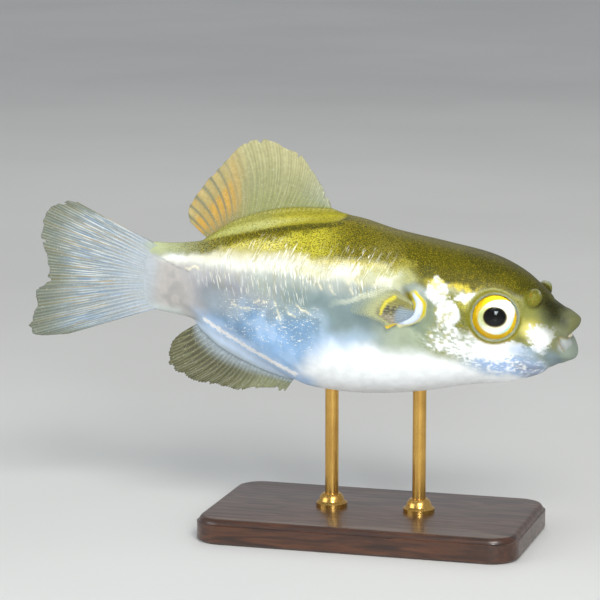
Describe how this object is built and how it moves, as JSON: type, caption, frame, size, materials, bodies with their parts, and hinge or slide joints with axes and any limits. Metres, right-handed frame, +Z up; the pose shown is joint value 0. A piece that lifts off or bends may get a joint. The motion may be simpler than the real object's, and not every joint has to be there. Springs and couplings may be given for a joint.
{
  "type": "freshwater pufferfish model on a display stand",
  "caption": "Still, life-size museum model of a slender golden-green freshwater pufferfish, nose slightly down, held by slim brass rods on a low wooden base.",
  "frame": {"origin": "centre of the stand's underside, on the surface that it stands on", "axes": "+X towards the fish's nose, +Y to the fish's left, +Z up"},
  "size_m": [0.1012, 0.032, 0.07],
  "materials": {
    "head": "satin skin, olive above and silvery white below",
    "trunk": "satin skin, olive back, bright silver flank and white belly",
    "tail_stem": "satin skin, grey-silver",
    "lips": "satin, grey-olive",
    "tooth": "smooth enamel",
    "eyes": "clear gloss over a gold and silver iris",
    "nasal_organs": "satin, olive-yellow",
    "pectoral_lobes": "satin, white with a yellow rim",
    "pectoral_fins": "thin translucent membrane with fine rays",
    "fin_ridges": "satin, yellow-olive",
    "dorsal_fin": "thin translucent membrane, amber towards the rear",
    "anal_fin": "thin translucent membrane, olive-grey",
    "caudal_fin": "thin translucent membrane, blue-grey with golden glints",
    "stand_base": "dark stained wood, satin varnish",
    "stand_rods": "brushed brass"
  },
  "bodies": {
    "root": {"head": "head", "trunk": "trunk", "tail_stem": "tail_stem", "upper_lip": "lips", "lower_lip": "lips", "tooth_plate": "tooth", "eye_right": "eyes", "eye_left": "eyes", "nasal_organ_right": "nasal_organs", "nasal_organ_left": "nasal_organs", "pectoral_lobe_right": "pectoral_lobes", "pectoral_lobe_left": "pectoral_lobes", "pectoral_fin_right": "pectoral_fins", "pectoral_fin_left": "pectoral_fins", "dorsal_ridge": "fin_ridges", "anal_ridge": "fin_ridges", "dorsal_fin": "dorsal_fin", "anal_fin": "anal_fin", "caudal_fin": "caudal_fin", "stand_base": "stand_base", "stand_rod_front": "stand_rods", "stand_rod_rear": "stand_rods", "stand_collar_front": "stand_rods", "stand_collar_rear": "stand_rods"}
  },
  "joints": []
}
